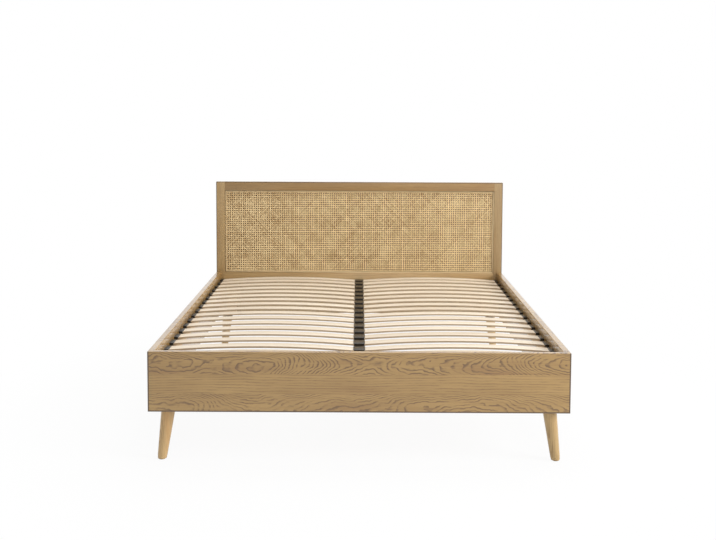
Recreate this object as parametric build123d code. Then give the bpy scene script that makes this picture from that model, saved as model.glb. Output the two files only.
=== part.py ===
from build123d import *
import math
import os

# Double bed frame with a cane headboard, sprung slats and splayed turned legs, in millimetres.
# X runs across the bed, Y from the foot end to the head end, Z up.
# The origin is on the floor, in the middle of the bed's outline.

# Overall sizes, for a mattress of 1600 by 2000
BED_WIDTH = 1680
BED_LENGTH = 2075
BED_HEIGHT = 980

# Footboard and side rails
BOARD_BOTTOM = 205
BOARD_TOP = 448
BOARD_THICKNESS = 27
EDGE_ROUND = 2.5

# Headboard frame, its cane panel and the joints that hold it together
HEADBOARD_THICKNESS = 32
FRAME_FACE = 50
CANE_BOTTOM = 445
GROOVE_FRONT = 10
GROOVE_DEPTH = 9
PANEL_THICKNESS = 9
CANE_THICKNESS = 2
BEAD_FACE = 9
BEAD_THICKNESS = 5
BEAD_ROUND = 2.4
TENON_LENGTH = 20
TENON_SHOULDER = 8

# Sprung slats
SLATS_PER_SIDE = 16
SLAT_PITCH = 118
FIRST_SLAT = 135.5
SLAT_WIDTH = 63
SLAT_THICKNESS = 8
SLAT_CAMBER = 17
SLAT_END_TOP = 404
SLAT_INNER_END = 8

# Slat holders
HOLDER_LENGTH = 68
HOLDER_FLOOR = 1.6
HOLDER_TOP = 407
SIDE_HOLDER_REACH = 20
SIDE_HOLDER_WALL = 2
CENTRE_HOLDER_WIDTH = 50
HOLDER_CORNER = 5
POCKET_PLAY = 0.1
TONGUE = (5, 16, 9)

# Battens, centre beam and its brackets
BATTEN_THICKNESS = 24
BATTEN_HEIGHT = 40
BEAM_WIDTH = 38
BEAM_HEIGHT = 60
SHEET = 2.5
BRACKET_REACH = 45
BRACKET_EAR = 22
TIMBER_BEVEL = 2

# Centre leg and levelling foot
TUBE_SIDE = 30
TUBE_WALL = 1.5
TUBE_CORNER = 2
FOOT_PAD_RADIUS = 22
FOOT_PAD_HEIGHT = 10
FOOT_PAD_SIDES = 12
FOOT_PAD_BEVEL = 3
FOOT_NUT_FLATS = 17
FOOT_NUT_HEIGHT = 8
STUD_RADIUS = 5
STUD_CLEARANCE = 0.08
STUD_LENGTH = 40
INSERT_LENGTH = 26
LEG_FLANGE = (36, 96, 3)
FLANGE_HOLE_REACH = 37

# Corner blocks and their bolts
BLOCK_SIDE = 92
BLOCK_CUT = 40
BLOCK_HEIGHT = 140
BOLT_RADIUS = 4
BOLT_CLEARANCE = 0.25
BOLT_BITE = 18
BOLT_HEAD_RADIUS = 7.5
BOLT_HEAD = 5.3
BOLT_INSET = 40
BOLT_HEIGHTS = (262, 322)

# Splayed legs, measured from the inner corner of the frame
LEG_TOP_INSET = 44
LEG_FOOT_INSET = 20
LEG_TOP_RADIUS = 28
LEG_FOOT_RADIUS = 18.5
LEG_TOE_HEIGHT = 16
LEG_TOE_DRAW = 3
LEG_SIDES = 40
GLIDE_RADIUS = 13
GLIDE_SIDES = 16
GLIDE_THICKNESS = 3
PLATE_SIDE = 64
PLATE_CORNER = 8
PLATE_BOSS_RADIUS = 29
PLATE_BOSS_SIDES = 24
PLATE_HOLE_SPACING = 50
SCREW_HOLE_RADIUS = 2.3
BOSS_LEAST = 1
HANGER_RADIUS = 4
HANGER_HALF = 38

# Places worked out from the sizes above
FRONT = -BED_LENGTH / 2
BACK = BED_LENGTH / 2
SIDE = BED_WIDTH / 2
INNER_SIDE = SIDE - BOARD_THICKNESS
INNER_FOOT = FRONT + BOARD_THICKNESS
INNER_HEAD = BACK - HEADBOARD_THICKNESS
MID_LENGTH = (INNER_FOOT + INNER_HEAD) / 2
STILE_INNER = SIDE - FRAME_FACE
CANE_TOP = BED_HEIGHT - FRAME_FACE
GROOVE = INNER_HEAD + GROOVE_FRONT
SLAT_OUTER_END = INNER_SIDE - SIDE_HOLDER_WALL
SUPPORT_TOP = SLAT_END_TOP - SLAT_THICKNESS - HOLDER_FLOOR
BEAM_BOTTOM = SUPPORT_TOP - BEAM_HEIGHT
TUBE_BOTTOM = FOOT_PAD_HEIGHT + FOOT_NUT_HEIGHT
SLAT_ROWS = [FRONT + FIRST_SLAT + SLAT_PITCH * row for row in range(SLATS_PER_SIDE)]

PLATE_BOTTOM = BOARD_BOTTOM - SHEET
LEG_LEAN = LEG_TOP_INSET - LEG_FOOT_INSET
LEG_TILT = math.atan2(math.hypot(LEG_LEAN, LEG_LEAN), BOARD_BOTTOM)
LEG_LENGTH = (PLATE_BOTTOM - BOSS_LEAST - PLATE_BOSS_RADIUS * math.sin(LEG_TILT)) / math.cos(LEG_TILT)
LEG_FOOT = (INNER_SIDE - LEG_FOOT_INSET, INNER_HEAD - LEG_FOOT_INSET, 0)
LEG_UP = (-LEG_LEAN, -LEG_LEAN, BOARD_BOTTOM)

ACROSS = Plane.YZ
ALONG = Plane(origin=(0, MID_LENGTH, 0), z_dir=(0, 1, 0))
LEG_PLANE = Plane(origin=LEG_FOOT, z_dir=LEG_UP)


def block(x0, x1, y0, y1, z0, z1):
    """A rectangular solid between two corners."""
    centre = Pos((x0 + x1) / 2, (y0 + y1) / 2, (z0 + z1) / 2)
    return centre * Box(abs(x1 - x0), abs(y1 - y0), abs(z1 - z0))


def rod(start, direction, length, radius):
    """A round solid from a point along a direction."""
    plane = Plane(origin=start, z_dir=direction)
    return plane * Cylinder(radius, length, align=(Align.CENTER, Align.CENTER, Align.MIN))


def bar(start, direction, length, radius, sides=6):
    """A many-sided solid from a point along a direction, for small bolts and holes."""
    section = Plane(origin=start, z_dir=direction) * RegularPolygon(radius, sides)
    return extrude(section, length)


def turning(rings, sides):
    """A many-sided turning about Z from rings of (radius, height), foot first."""
    turn = math.tau / sides
    loops = []
    for radius, height in rings:
        ring = [(radius * math.cos(turn * k), radius * math.sin(turn * k), height) for k in range(sides)]
        loops.append(ring + ring[:1])
    outlines = [loops[0][:-1], loops[-1][:-1]]
    for low, high in zip(loops, loops[1:]):
        outlines += [(low[k], low[k + 1], high[k + 1], high[k]) for k in range(sides)]
    return Solid(Shell([Face(Wire.make_polygon(outline)) for outline in outlines]))


def edges_at(shape, axis, value):
    """The edges that lie wholly in a plane square to an axis."""
    return shape.edges().filter_by_position(axis, value - 0.01, value + 0.01)


def at_corners(piece):
    """Copies of a piece built at the right-hand head corner, by the corner that each is in."""
    front = mirror(piece, about=ALONG)
    return {
        "front_left": mirror(front, about=ACROSS),
        "front_right": front,
        "back_left": mirror(piece, about=ACROSS),
        "back_right": piece,
    }


def save(name, *solids):
    """Writes one node."""
    shape = solids[0] if len(solids) == 1 else Compound(children=list(solids))
    export_step(shape, f"parts/{name}.step")


# Frame bolts, two at each corner, built at the right-hand head corner

def bolt_row(reach_back, length, radius):
    """One bar for each bolt, starting a distance back from the end board's inner face."""
    x, y = INNER_SIDE - BOLT_INSET, INNER_HEAD - reach_back
    return [bar((x, y, z), (0, 1, 0), length, radius) for z in BOLT_HEIGHTS]


def frame_bolts():
    """Hexagon-head bolts through the corner block into the end board."""
    heads = bolt_row(BLOCK_SIDE + BOLT_HEAD, BOLT_HEAD, BOLT_HEAD_RADIUS)
    shanks = bolt_row(BLOCK_SIDE, BLOCK_SIDE + BOLT_BITE, BOLT_RADIUS)
    return [head + shank for head, shank in zip(heads, shanks)]


def bolt_bites(*corners):
    """The blind holes that the bolts fill in an end board, at the named corners."""
    return [at_corners(hole)[corner] for hole in bolt_row(0, BOLT_BITE, BOLT_RADIUS) for corner in corners]


# Boards

def footboard():
    board = block(-SIDE, SIDE, FRONT, INNER_FOOT, BOARD_BOTTOM, BOARD_TOP)
    edges = edges_at(board, Axis.Y, FRONT) + edges_at(board, Axis.Z, BOARD_TOP)
    board = fillet(list(dict.fromkeys(edges)), EDGE_ROUND)
    return board - bolt_bites("front_left", "front_right")


def side_rail():
    """The right-hand rail, between the footboard and the headboard."""
    rail = block(INNER_SIDE, SIDE, INNER_FOOT, INNER_HEAD, BOARD_BOTTOM, BOARD_TOP)
    return fillet(edges_at(rail, Axis.Z, BOARD_TOP).filter_by(Axis.Y), EDGE_ROUND)


# Headboard: two stiles joined by tenoned rails, with a grooved-in panel behind the cane

def back_panel():
    reach = STILE_INNER + GROOVE_DEPTH
    bottom, top = CANE_BOTTOM - GROOVE_DEPTH, CANE_TOP + GROOVE_DEPTH
    return block(-reach, reach, GROOVE, GROOVE + PANEL_THICKNESS, bottom, top)


def tenon(z0, z1):
    """The right-hand tenon of a rail, as thick as the groove."""
    return block(STILE_INNER, STILE_INNER + TENON_LENGTH, GROOVE, GROOVE + PANEL_THICKNESS, z0, z1)


def top_tenon():
    return tenon(CANE_TOP + GROOVE_DEPTH + TENON_SHOULDER, BED_HEIGHT - TENON_SHOULDER)


def bottom_tenon():
    return tenon(BOARD_BOTTOM + 3 * TENON_SHOULDER, CANE_BOTTOM - GROOVE_DEPTH - TENON_SHOULDER)


def headboard_stile():
    """The right-hand stile."""
    stile = block(STILE_INNER, SIDE, INNER_HEAD, BACK, BOARD_BOTTOM, BED_HEIGHT)
    outer = edges_at(stile, Axis.X, SIDE).filter_by(Axis.Z)
    top = edges_at(stile, Axis.Z, BED_HEIGHT).filter_by(Axis.X)
    corner = edges_at(stile, Axis.X, SIDE).filter_by(Axis.Y).sort_by(Axis.Z)[-1:]
    stile = fillet(outer + top + corner, EDGE_ROUND)
    return stile - back_panel() - top_tenon() - bottom_tenon()


def headboard_rail(z0, z1, right_tenon, rounded_top):
    """A rail between the stiles, with a tenon at each end."""
    rail = block(-STILE_INNER, STILE_INNER, INNER_HEAD, BACK, z0, z1)
    if rounded_top:
        rail = fillet(edges_at(rail, Axis.Z, z1).filter_by(Axis.X), EDGE_ROUND)
    return rail + right_tenon + mirror(right_tenon, about=ACROSS) - back_panel()


def cane_webbing():
    return block(-STILE_INNER, STILE_INNER, GROOVE - CANE_THICKNESS, GROOVE, CANE_BOTTOM, CANE_TOP)


def cane_bead():
    """Four mitred strips that clamp the edge of the webbing, rounded towards the cane."""
    back = GROOVE - CANE_THICKNESS
    wall = Plane(origin=(0, back, 0), x_dir=(1, 0, 0), z_dir=(0, -1, 0))
    left, right, low, high = -STILE_INNER, STILE_INNER, CANE_BOTTOM, CANE_TOP
    outer = [(left, low), (right, low), (right, high), (left, high)]
    left, right, low, high = left + BEAD_FACE, right - BEAD_FACE, low + BEAD_FACE, high - BEAD_FACE
    inner = [(left, low), (right, low), (right, high), (left, high)]
    strips = []
    for here in range(4):
        there = (here + 1) % 4
        outline = Polyline(outer[here], outer[there], inner[there], inner[here], close=True)
        strip = extrude(wall * make_face(outline), BEAD_THICKNESS)
        front_edges = edges_at(strip, Axis.Y, back - BEAD_THICKNESS).sort_by(Edge.length)
        strips.append(fillet(front_edges[2], BEAD_ROUND))
    return strips


# Slats, holders and what carries them

def slat():
    """The right-hand sprung slat at Y = 0: a strip bent to an arc."""
    middle = (SLAT_INNER_END + SLAT_OUTER_END) / 2
    high, low = SLAT_END_TOP, SLAT_END_TOP - SLAT_THICKNESS
    top = ThreePointArc((SLAT_INNER_END, high), (middle, high + SLAT_CAMBER), (SLAT_OUTER_END, high))
    bottom = ThreePointArc((SLAT_OUTER_END, low), (middle, low + SLAT_CAMBER), (SLAT_INNER_END, low))
    ends = [Line(top @ 1, bottom @ 0), Line(bottom @ 1, top @ 0)]
    outline = make_face(Wire([top, ends[0], bottom, ends[1]]))
    return extrude(Plane.XZ * outline, SLAT_WIDTH / 2, both=True)


def pocket(end, mouth):
    """The sloping slot for one slat end, from the slat's end out through the holder's mouth."""
    along = abs(mouth - end) / (SLAT_OUTER_END - SLAT_INNER_END)
    rise = 4 * SLAT_CAMBER * along * (1 - along)
    floor = SLAT_END_TOP - SLAT_THICKNESS
    roof = SLAT_END_TOP + POCKET_PLAY
    outline = Polyline((end, floor), (mouth, floor + rise), (mouth, roof + rise), (end, roof), close=True)
    return extrude(Plane.XZ * make_face(outline), SLAT_WIDTH / 2, both=True)


def holder(x0, x1, corners, pockets):
    """A moulded holder at Y = 0 with a tongue below and a pocket for each slat end."""
    half = HOLDER_LENGTH / 2
    body = block(x0, x1, -half, half, SUPPORT_TOP, HOLDER_TOP)
    uprights = [edge for edge in body.edges().filter_by(Axis.Z) if edge.center().X in corners]
    return chamfer(uprights, HOLDER_CORNER) + tongue((x0 + x1) / 2, 0) - pockets


def tongue(x, y):
    """The flat tongue that plugs a holder into its batten or beam."""
    width, length, depth = TONGUE
    return Pos(x, y, SUPPORT_TOP - depth / 2) * Box(width, length, depth)


def side_holder():
    mouth = INNER_SIDE - SIDE_HOLDER_REACH
    return holder(mouth, INNER_SIDE, (mouth,), [pocket(SLAT_OUTER_END, mouth)])


def centre_holder():
    half = CENTRE_HOLDER_WIDTH / 2
    right = pocket(SLAT_INNER_END, half)
    return holder(-half, half, (-half, half), [right, mirror(right, about=ACROSS)])


def tongue_slots(x):
    """One slot for each holder's tongue, in a row along the bed."""
    return [tongue(x, y) for y in SLAT_ROWS]


def slat_batten():
    """The right-hand batten, screwed to the inside of the side rail."""
    face, bottom = INNER_SIDE - BATTEN_THICKNESS, SUPPORT_TOP - BATTEN_HEIGHT
    batten = block(face, INNER_SIDE, INNER_FOOT, INNER_HEAD, bottom, SUPPORT_TOP)
    free_edges = edges_at(batten, Axis.X, face).filter_by(Axis.Y)
    batten = chamfer(free_edges, TIMBER_BEVEL)
    return batten - tongue_slots(INNER_SIDE - SIDE_HOLDER_REACH / 2)


def centre_beam():
    half = BEAM_WIDTH / 2
    beam = block(-half, half, INNER_FOOT + SHEET, INNER_HEAD - SHEET, BEAM_BOTTOM, SUPPORT_TOP)
    beam = chamfer(beam.edges().filter_by(Axis.Y), TIMBER_BEVEL)
    return beam - tongue_slots(0)


def beam_bracket():
    """The head-end bracket: a U of sheet steel under the beam, with an ear each side of it."""
    half = BEAM_WIDTH / 2
    bottom = BEAM_BOTTOM - SHEET
    top = SUPPORT_TOP - BEAM_HEIGHT / 4
    start = INNER_HEAD - BRACKET_REACH
    cradle = block(-half - SHEET, half + SHEET, start, INNER_HEAD, bottom, top)
    cradle -= block(-half, half, start, INNER_HEAD, BEAM_BOTTOM, top)
    plate = block(-half - BRACKET_EAR, half + BRACKET_EAR, INNER_HEAD - SHEET, INNER_HEAD, bottom, top)
    plate = chamfer(plate.edges().filter_by(Axis.Y), 2 * SHEET)
    bracket = cradle + plate
    ear_middle = half + (BRACKET_EAR + SHEET) / 2
    for x in (-ear_middle, ear_middle):
        for z in (bottom + BRACKET_EAR / 2, top - BRACKET_EAR / 2):
            bracket -= bar((x, INNER_HEAD - SHEET, z), (0, 1, 0), SHEET, SCREW_HOLE_RADIUS)
    return bracket


def centre_leg():
    """A square steel tube with a screw flange at its top and a threaded insert at its foot."""
    width, length, thickness = LEG_FLANGE
    tube_top = BEAM_BOTTOM - thickness
    half, inside = TUBE_SIDE / 2, TUBE_SIDE / 2 - TUBE_WALL
    flange = block(-width / 2, width / 2, -length / 2, length / 2, tube_top, BEAM_BOTTOM)
    flange = chamfer(flange.edges().filter_by(Axis.Z), width / 5)
    for y in (-FLANGE_HOLE_REACH, FLANGE_HOLE_REACH):
        flange -= bar((0, y, tube_top), (0, 0, 1), thickness, SCREW_HOLE_RADIUS)
    tube = block(-half, half, -half, half, TUBE_BOTTOM, tube_top)
    tube = chamfer(tube.edges().filter_by(Axis.Z), TUBE_CORNER)
    hollow = block(-inside, inside, -inside, inside, TUBE_BOTTOM + INSERT_LENGTH, tube_top)
    bore = rod((0, 0, TUBE_BOTTOM), (0, 0, 1), INSERT_LENGTH, STUD_RADIUS + STUD_CLEARANCE)
    return Pos(0, MID_LENGTH, 0) * (flange + tube - hollow - bore)


def levelling_foot():
    """A many-sided pad with a hexagon and a stud that screws up into the centre leg."""
    pad = bar((0, 0, 0), (0, 0, 1), FOOT_PAD_HEIGHT, FOOT_PAD_RADIUS, FOOT_PAD_SIDES)
    pad = chamfer(edges_at(pad, Axis.Z, FOOT_PAD_HEIGHT), FOOT_PAD_BEVEL)
    hexagon = Pos(0, 0, FOOT_PAD_HEIGHT) * RegularPolygon(FOOT_NUT_FLATS / 2, 6, major_radius=False)
    stud = rod((0, 0, TUBE_BOTTOM), (0, 0, 1), STUD_LENGTH, STUD_RADIUS)
    return Pos(0, MID_LENGTH, 0) * (pad + extrude(hexagon, FOOT_NUT_HEIGHT) + stud)


# Corner blocks and splayed legs, at the right-hand head corner

def corner_block():
    """A block glued to the side rail, cut off at its inner corner, with holes for two bolts."""
    x0, x1 = INNER_SIDE - BLOCK_SIDE, INNER_SIDE
    y0, y1 = INNER_HEAD - BLOCK_SIDE, INNER_HEAD
    outline = Polyline((x1, y1), (x1, y0), (x0 + BLOCK_CUT, y0), (x0, y0 + BLOCK_CUT), (x0, y1), close=True)
    body = extrude(Plane.XY.offset(BOARD_BOTTOM) * make_face(outline), BLOCK_HEIGHT)
    return body - bolt_row(BLOCK_SIDE, BLOCK_SIDE, BOLT_RADIUS + BOLT_CLEARANCE) - hanger_bolt()


def hanger_bolt():
    """The double-ended bolt on the leg's axis, half in the leg and half in the block."""
    start = LEG_PLANE.from_local_coords((0, 0, LEG_LENGTH - HANGER_HALF))
    return bar(start, LEG_UP, 2 * HANGER_HALF, HANGER_RADIUS)


def leg_plate():
    """A square plate with a slanted boss that sets the leg's splay."""
    x, y = INNER_SIDE - LEG_TOP_INSET, INNER_HEAD - LEG_TOP_INSET
    half, spread = PLATE_SIDE / 2, PLATE_HOLE_SPACING / 2
    plate = block(x - half, x + half, y - half, y + half, PLATE_BOTTOM, BOARD_BOTTOM)
    plate = chamfer(plate.edges().filter_by(Axis.Z), PLATE_CORNER)
    for dx in (-spread, spread):
        for dy in (-spread, spread):
            plate -= bar((x + dx, y + dy, PLATE_BOTTOM), (0, 0, 1), SHEET, SCREW_HOLE_RADIUS)
    seat = LEG_PLANE.from_local_coords((0, 0, LEG_LENGTH))
    boss = bar(seat, LEG_UP, PLATE_SIDE, PLATE_BOSS_RADIUS, PLATE_BOSS_SIDES)
    boss &= Pos(x, y, PLATE_BOTTOM / 2) * Box(2 * PLATE_SIDE, 2 * PLATE_SIDE, PLATE_BOTTOM)
    return plate + boss - hanger_bolt()


def turned_leg():
    """A tapered round leg, drawn in at the toe and cut level just above the floor."""
    taper = (LEG_TOP_RADIUS - LEG_FOOT_RADIUS) / LEG_LENGTH
    toe = (LEG_FOOT_RADIUS - LEG_TOE_DRAW, -LEG_FOOT_RADIUS / 2)
    ankle = (LEG_FOOT_RADIUS + taper * LEG_TOE_HEIGHT, LEG_TOE_HEIGHT)
    turned = LEG_PLANE * turning([toe, ankle, (LEG_TOP_RADIUS, LEG_LENGTH)], LEG_SIDES)
    x, y, _ = LEG_FOOT
    waste = Pos(x, y, GLIDE_THICKNESS - LEG_FOOT_RADIUS) * Box(*3 * [2 * LEG_FOOT_RADIUS])
    return turned - waste - hanger_bolt()


def floor_glide():
    return bar(LEG_FOOT, (0, 0, 1), GLIDE_THICKNESS, GLIDE_RADIUS, GLIDE_SIDES)


os.makedirs("parts", exist_ok=True)

save("footboard", footboard())
right_rail = side_rail()
save("side_rail_right", right_rail)
save("side_rail_left", mirror(right_rail, about=ACROSS))

right_stile = headboard_stile()
save("headboard_stile_right", right_stile)
save("headboard_stile_left", mirror(right_stile, about=ACROSS))
save("headboard_top_rail", headboard_rail(CANE_TOP, BED_HEIGHT, top_tenon(), True))
bottom_rail = headboard_rail(BOARD_BOTTOM, CANE_BOTTOM, bottom_tenon(), False)
save("headboard_bottom_rail", bottom_rail - bolt_bites("back_left", "back_right"))
save("headboard_back_panel", back_panel())
save("cane_webbing", cane_webbing())
save("cane_bead", *cane_bead())

right_slat = slat()
left_slat = mirror(right_slat, about=ACROSS)
for row, y in enumerate(SLAT_ROWS, start=1):
    save(f"slat_left_{row:02d}", Pos(0, y, 0) * left_slat)
    save(f"slat_right_{row:02d}", Pos(0, y, 0) * right_slat)

right_holder = side_holder()
left_holder = mirror(right_holder, about=ACROSS)
double_holder = centre_holder()
save("slat_holders_right", *[Pos(0, y, 0) * right_holder for y in SLAT_ROWS])
save("slat_holders_left", *[Pos(0, y, 0) * left_holder for y in SLAT_ROWS])
save("slat_holders_centre", *[Pos(0, y, 0) * double_holder for y in SLAT_ROWS])

right_batten = slat_batten()
save("slat_batten_right", right_batten)
save("slat_batten_left", mirror(right_batten, about=ACROSS))
save("centre_beam", centre_beam())
head_bracket = beam_bracket()
save("beam_brackets", head_bracket, mirror(head_bracket, about=ALONG))
save("centre_leg", centre_leg())
save("levelling_foot", levelling_foot())

save("corner_blocks", *at_corners(corner_block()).values())
save("leg_plates", *at_corners(leg_plate()).values())
save("leg_bolts", *at_corners(hanger_bolt()).values())
save("floor_glides", *at_corners(floor_glide()).values())
for corner, leg in at_corners(turned_leg()).items():
    save(f"leg_{corner}", leg)
save("frame_bolts", *[copy for bolt in frame_bolts() for copy in at_corners(bolt).values()])
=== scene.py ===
import math
import random

import bmesh
import bpy
from bpy.props import FloatProperty, FloatVectorProperty, IntProperty, PointerProperty
from mathutils import Matrix, Vector


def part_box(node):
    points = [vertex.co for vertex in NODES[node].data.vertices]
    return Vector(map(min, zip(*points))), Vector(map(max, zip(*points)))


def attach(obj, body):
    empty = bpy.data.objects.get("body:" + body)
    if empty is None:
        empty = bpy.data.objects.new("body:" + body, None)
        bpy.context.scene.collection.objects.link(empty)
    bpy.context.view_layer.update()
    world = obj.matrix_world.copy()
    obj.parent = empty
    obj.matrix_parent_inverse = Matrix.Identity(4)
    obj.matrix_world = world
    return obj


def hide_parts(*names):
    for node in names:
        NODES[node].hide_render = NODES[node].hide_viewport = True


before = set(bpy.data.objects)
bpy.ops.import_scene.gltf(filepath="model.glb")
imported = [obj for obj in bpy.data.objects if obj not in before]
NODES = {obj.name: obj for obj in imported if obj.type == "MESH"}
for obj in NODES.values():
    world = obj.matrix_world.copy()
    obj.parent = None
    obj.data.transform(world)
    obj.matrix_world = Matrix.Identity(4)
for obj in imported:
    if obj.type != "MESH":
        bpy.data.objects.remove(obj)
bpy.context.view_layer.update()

bl_info = {
    "name": "Cane bed",
    "version": (1, 0, 0),
    "blender": (4, 5, 0),
    "location": "View3D > Sidebar > Bed",
    "description": "Dresses a double bed frame: oak boards, woven cane headboard, sprung slats and fittings",
    "category": "Object",
}

BODY = "bed_frame"
CORNERS = ("front_left", "front_right", "back_left", "back_right")
SIDES = ("left", "right")
SLATS = sorted(name for name in NODES if name[-2:].isdigit())
HOLDERS = sorted(name for name in NODES if name.startswith("slat_holders"))
ROWS = len(SLATS) // 2
SLAT_THICKNESS = 0.008
BEAD_FACE = 0.009
SHEET_STEEL = 0.0025
FLANGE_STEEL = 0.003
# The seventeenth row of slats is made here alone: its middle along the bed, close to the headboard
LAST_ROW = 0.966


# Sizes and colours that a user would change


def length(name, description, default):
    return FloatProperty(
        name=name, description=description, default=default, min=0, unit="LENGTH", precision=5
    )


def place(name, description, default):
    return FloatProperty(name=name, description=description, default=default, unit="LENGTH", precision=5)


def angle(name, description, degrees):
    return FloatProperty(
        name=name, description=description, default=math.radians(degrees), subtype="ANGLE"
    )


def number(name, description, default):
    return FloatProperty(name=name, description=description, default=default)


def colour(name, description, default):
    return FloatVectorProperty(
        name=name, description=description, default=default, size=3, min=0, max=1, subtype="COLOR"
    )


class WeaveSizes(bpy.types.PropertyGroup):
    pitch: length("Pitch", "Distance between two pairs of strands", 0.0127)
    spread: length("Spread", "Distance between the two strands of a pair", 0.0029)
    strand_width: length("Strand width", "Width of an upright or crosswise strand", 0.0021)
    diagonal_width: length("Diagonal width", "Width of a diagonal strand", 0.0021)
    strand_thickness: length("Strand thickness", "Height of a strand's rounded face", 0.0005)
    sway: length("Sway", "How far a strand bends over and under the others", 0.0004)
    stray: length("Stray", "How far a strand sits from its true place", 0.0002)
    steps: IntProperty(name="Steps", description="Straight steps in one pitch of a strand", default=4, min=2)
    seed: IntProperty(name="Seed", description="Seed of the strands' differences", default=7)


class EdgeSizes(bpy.types.PropertyGroup):
    timber: length("Timber", "Bevel on sawn timber and slats", 0.0012)
    plastic: length("Plastic", "Bevel on moulded plastic", 0.0007)
    steel: length("Steel", "Bevel on sheet steel and bolts", 0.0005)
    smooth_below: angle("Smooth below", "Edges flatter than this are shaded smooth", 32)


class ScrewSizes(bpy.types.PropertyGroup):
    head_radius: length("Head radius", "Radius of a wood screw's head", 0.0042)
    head_height: length("Head height", "Height of a wood screw's dome", 0.0018)
    slot_width: length("Slot width", "Width of one arm of the cross recess", 0.0011)
    spacing: length("Spacing", "Distance between screws along a batten", 0.25)


class WoodColours(bpy.types.PropertyGroup):
    veneer_light: colour("Veneer, light", "Late wood of the board veneer", (0.435, 0.266, 0.083))
    veneer_mid: colour("Veneer, middle", "Body of the board veneer", (0.325, 0.186, 0.053))
    veneer_dark: colour("Veneer, dark", "Early wood and pores of the board veneer", (0.155, 0.08, 0.026))
    frame_light: colour("Frame, light", "Late wood of the headboard frame", (0.42, 0.28, 0.126))
    frame_mid: colour("Frame, middle", "Body of the headboard frame", (0.34, 0.216, 0.09))
    frame_dark: colour("Frame, dark", "Early wood of the headboard frame", (0.2, 0.115, 0.045))
    leg_light: colour("Leg, light", "Late wood of the legs", (0.62, 0.445, 0.22))
    leg_mid: colour("Leg, middle", "Body of the legs", (0.51, 0.335, 0.148))
    leg_dark: colour("Leg, dark", "Early wood of the legs", (0.34, 0.2, 0.08))
    birch_light: colour("Birch, light", "Faces of the slats", (0.79, 0.69, 0.55))
    birch_dark: colour("Birch, dark", "Glue lines and flecks of the slats", (0.4, 0.28, 0.165))
    pine_light: colour("Pine, light", "Spring wood of the battens and beam", (0.70, 0.52, 0.31))
    pine_dark: colour("Pine, dark", "Rings of the battens and beam", (0.50, 0.31, 0.14))
    board: colour("Backing board", "Back of the board behind the cane", (0.24, 0.145, 0.066))
    bead: colour("Bead", "Strip round the cane", (0.6, 0.44, 0.235))
    cane_light: colour("Cane, light", "Palest strands", (0.93, 0.71, 0.385))
    cane_dark: colour("Cane, dark", "Darkest strands", (0.37, 0.205, 0.066))


class FittingColours(bpy.types.PropertyGroup):
    plastic: colour("Holder plastic", "Slat holders", (0.006, 0.0058, 0.0058))
    foot: colour("Foot plastic", "Levelling foot", (0.028, 0.028, 0.028))
    steel: colour("Coated steel", "Brackets, plates and the centre leg", (0.02, 0.02, 0.021))
    zinc: colour("Zinc", "Bolts and screws", (0.56, 0.56, 0.54))
    felt: colour("Felt", "Floor glides", (0.10, 0.075, 0.05))


class Studio(bpy.types.PropertyGroup):
    key: number("Key", "Watts of the soft lamp above and to the right", 370)
    overhead: number("Overhead", "Watts of the broad lamp over the bed", 140)
    fill: number("Fill", "Watts of the broad lamp by the camera", 52)
    sky: number("Sky", "Strength of the surroundings as light", 0.4)
    backdrop: number("Backdrop", "Strength of the surroundings as seen", 1.0)
    front: number("Front", "Strength of the mirrored surroundings on the camera's side", 0.35)
    camera_x: place("Camera X", "Camera's place across the bed", -0.0068)
    camera_y: place("Camera Y", "Camera's place along the bed", -5.1288)
    camera_z: place("Camera Z", "Camera's height", 1.4098)
    camera_turn: angle("Turn", "Camera's turn to the left", 0.018)
    camera_down: angle("Down", "Camera's tilt below level", 4.432)
    camera_roll: angle("Roll", "Camera's turn about its view", 0.258)
    focal: number("Focal length", "Focal length in millimetres on a 36 mm wide frame", 52.8)
    shift: number("Shift", "Downward shift of the frame, as a share of its width", 80 / 716)


GROUPS = {
    "bed_weave": WeaveSizes,
    "bed_edges": EdgeSizes,
    "bed_screws": ScrewSizes,
    "bed_woods": WoodColours,
    "bed_fittings": FittingColours,
    "bed_studio": Studio,
}


# Shader maths


class Value:
    """A socket in a node tree. Python's operators on it add Math nodes."""

    def __init__(self, nodes, socket):
        self.nodes = nodes
        self.socket = socket

    def maths(self, operation, *inputs, clamp=False):
        settings = {"operation": operation, "use_clamp": clamp}
        return self.nodes.add("ShaderNodeMath", settings, dict(enumerate(inputs)))

    def __add__(self, other):
        return self.maths("ADD", self, other)

    def __radd__(self, other):
        return self.maths("ADD", other, self)

    def __sub__(self, other):
        return self.maths("SUBTRACT", self, other)

    def __rsub__(self, other):
        return self.maths("SUBTRACT", other, self)

    def __mul__(self, other):
        return self.maths("MULTIPLY", self, other)

    def __rmul__(self, other):
        return self.maths("MULTIPLY", other, self)

    def __truediv__(self, other):
        return self.maths("DIVIDE", self, other)

    def __gt__(self, other):
        return self.maths("GREATER_THAN", self, other)

    def __lt__(self, other):
        return self.maths("LESS_THAN", self, other)

    def __abs__(self):
        return self.maths("ABSOLUTE", self)

    def sine(self):
        return self.maths("SINE", self)

    def cosine(self):
        return self.maths("COSINE", self)

    def fraction(self):
        return self.maths("FRACT", self)

    def clamped(self):
        return self.maths("ADD", self, 0.0, clamp=True)

    def rise(self, low, high):
        """A smooth rise from 0 at low to 1 at high."""
        settings = {"interpolation_type": "SMOOTHSTEP"}
        return self.nodes.add("ShaderNodeMapRange", settings, {0: self, 1: low, 2: high, 3: 0.0, 4: 1.0})


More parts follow.
